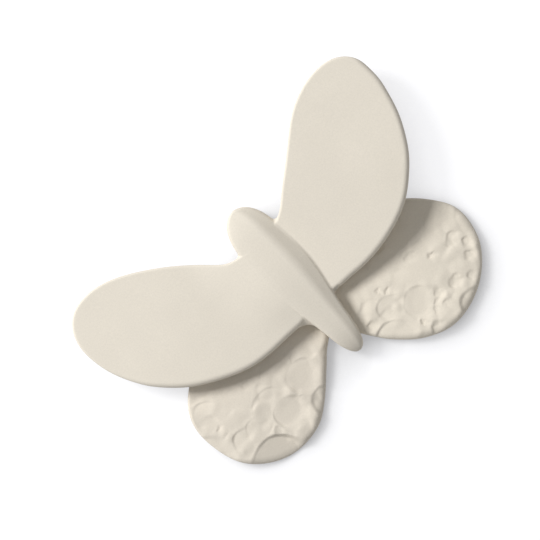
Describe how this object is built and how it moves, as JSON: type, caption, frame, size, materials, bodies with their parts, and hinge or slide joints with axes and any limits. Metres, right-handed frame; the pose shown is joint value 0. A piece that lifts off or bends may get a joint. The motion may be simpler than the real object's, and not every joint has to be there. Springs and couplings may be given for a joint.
{
  "type": "butterfly wall ornament",
  "caption": "Matte cream ceramic butterfly with smooth raised forewings, impressed hind wings and a blind nail hole in its flat back.",
  "frame": {"origin": "centre of the nail hole's mouth, in the flat back of the body", "axes": "+Z out of the front, away from the wall; +Y towards the head, which is up on a wall; +X out along the right wings"},
  "size_m": [0.1007, 0.0705, 0.0127],
  "materials": {
    "bisque": "matte unglazed cream clay with a fine grain"
  },
  "bodies": {
    "root": {"body": "bisque", "forewing_left": "bisque", "forewing_right": "bisque", "hindwing_left": "bisque", "hindwing_right": "bisque"}
  },
  "joints": []
}
